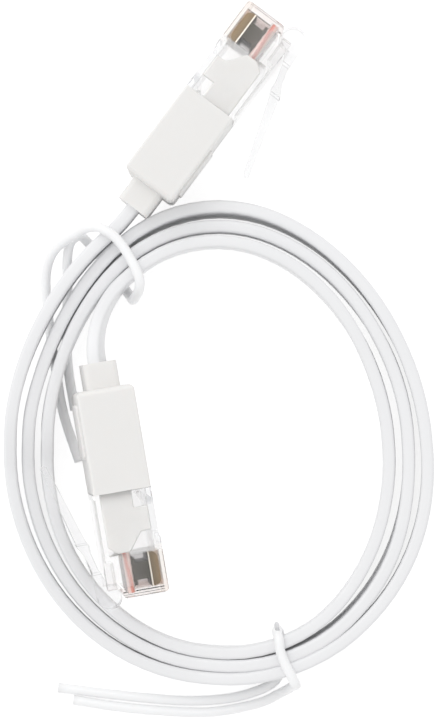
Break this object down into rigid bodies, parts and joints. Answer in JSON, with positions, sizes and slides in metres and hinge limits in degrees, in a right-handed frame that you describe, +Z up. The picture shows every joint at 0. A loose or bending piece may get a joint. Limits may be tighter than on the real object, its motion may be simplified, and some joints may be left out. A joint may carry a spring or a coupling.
{
  "type": "ethernet patch cable",
  "caption": "Coiled flat white network patch cable held by two coated wire ties, with a clear modular plug, sprung latch and white boot at each end.",
  "frame": {"origin": "centre of the bounding box on the surface that the cable lies on", "axes": "+Z up from the surface, +Y along the coil's longer way towards plug a, +X to the right"},
  "size_m": [0.048, 0.0789, 0.0154],
  "materials": {
    "clear_shell": "clear polycarbonate, glossy",
    "clear_latch": "clear polycarbonate, glossy",
    "clear_bar": "clear polycarbonate, glossy",
    "contact_gold": "gold plating on the contact heads, worn dull towards the waist",
    "mould_white": "satin",
    "boot_white": "soft satin",
    "wire_orange": "satin",
    "wire_green": "satin",
    "wire_blue": "satin",
    "wire_brown": "satin",
    "copper": "bare copper",
    "cable_white": "satin",
    "tie_white": "satin",
    "tie_steel": "bare wire"
  },
  "bodies": {
    "cable": {"plug_housing_a": "clear_shell", "contacts_a": "contact_gold", "load_bar_a": "clear_bar", "inner_mould_a": "mould_white", "boot_a": "boot_white", "orange_pair_a": "wire_orange", "green_pair_a": "wire_green", "blue_pair_a": "wire_blue", "brown_pair_a": "wire_brown", "conductors_a": "copper", "plug_housing_b": "clear_shell", "contacts_b": "contact_gold", "load_bar_b": "clear_bar", "inner_mould_b": "mould_white", "boot_b": "boot_white", "orange_pair_b": "wire_orange", "green_pair_b": "wire_green", "blue_pair_b": "wire_blue", "brown_pair_b": "wire_brown", "conductors_b": "copper", "cable_lead_a": "cable_white", "cable_coil": "cable_white", "cable_lead_b": "cable_white", "upper_tie": "tie_white", "upper_tie_core": "tie_steel", "lower_tie": "tie_white", "lower_tie_core": "tie_steel"},
    "latch_a": {"latch_a": "clear_latch"},
    "latch_b": {"latch_b": "clear_latch"}
  },
  "joints": [
    {"name": "latch_a_press", "type": "hinge", "parent": "cable", "child": "latch_a", "pos_m": [0.00813, 0.03573, 0.0063], "axis": [0, 0, -1], "range_deg": [0, 11.5], "stiffness_Nm_per_rad": 0.04},
    {"name": "latch_b_press", "type": "hinge", "parent": "cable", "child": "latch_b", "pos_m": [-0.01205, -0.02537, 0.00913], "axis": [-0.0945, -0.016, -0.9954], "range_deg": [0, 11.5], "stiffness_Nm_per_rad": 0.04}
  ]
}
